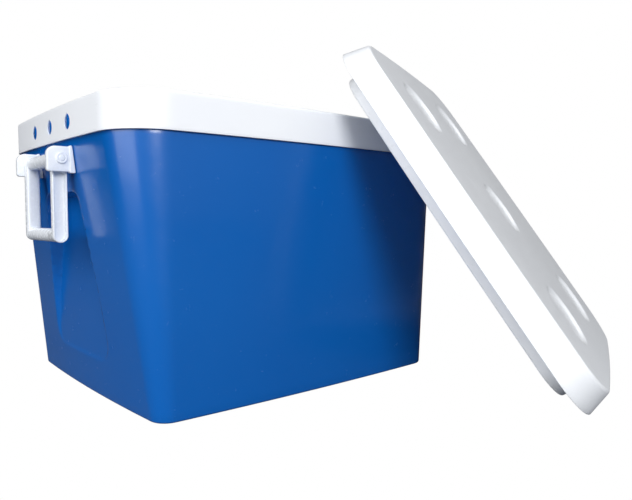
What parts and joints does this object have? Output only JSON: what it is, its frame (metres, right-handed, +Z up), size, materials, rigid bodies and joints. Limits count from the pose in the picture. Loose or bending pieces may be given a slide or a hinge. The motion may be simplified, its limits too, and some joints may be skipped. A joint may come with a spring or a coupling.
{
  "type": "cooler chest",
  "caption": "Hard-sided picnic cooler with a tapered tub, a white rim, a loose insulated lid leaning on it and a swinging bail handle on each end.",
  "frame": {"origin": "centre of the tub's flat base, on the floor", "axes": "+Z up out of the mouth; +X along the tub's long side, towards its right end; +Y across the tub, away from the side that the lid leans on"},
  "size_m": [0.7069, 0.6594, 0.4104],
  "materials": {
    "blue_shell": "satin",
    "white_collar": "satin",
    "white_liner": "satin",
    "white_lid": "satin",
    "white_handle": "satin",
    "white_pin": "satin",
    "steel_screw": "satin",
    "foam_core": "matte"
  },
  "bodies": {
    "tub": {"outer_shell": "blue_shell", "body_foam": "foam_core", "inner_liner": "white_liner", "collar": "white_collar", "left_front_lug": "white_handle", "left_front_pivot_pin": "white_pin", "left_front_backing_block": "white_pin", "left_front_lug_screws": "steel_screw", "left_back_lug": "white_handle", "left_back_pivot_pin": "white_pin", "left_back_backing_block": "white_pin", "left_back_lug_screws": "steel_screw", "right_front_lug": "white_handle", "right_front_pivot_pin": "white_pin", "right_front_backing_block": "white_pin", "right_front_lug_screws": "steel_screw", "right_back_lug": "white_handle", "right_back_pivot_pin": "white_pin", "right_back_backing_block": "white_pin", "right_back_lug_screws": "steel_screw"},
    "lid": {"lid_cover": "white_lid", "lid_pan": "white_liner", "lid_foam": "foam_core"},
    "left_handle": {"left_bail": "white_handle"},
    "right_handle": {"right_bail": "white_handle"}
  },
  "joints": [
    {"name": "lid_lift", "type": "slide", "parent": "tub", "child": "lid", "axis": [0, 0, 1], "range_m": [0, 0.36]},
    {"name": "left_handle_swing", "type": "hinge", "parent": "tub", "child": "left_handle", "pos_m": [-0.2515, 0, 0.27], "axis": [0, 1, 0], "range_deg": [-12, 170]},
    {"name": "right_handle_swing", "type": "hinge", "parent": "tub", "child": "right_handle", "pos_m": [0.2515, 0, 0.27], "axis": [0, -1, 0], "range_deg": [-12, 170]}
  ]
}
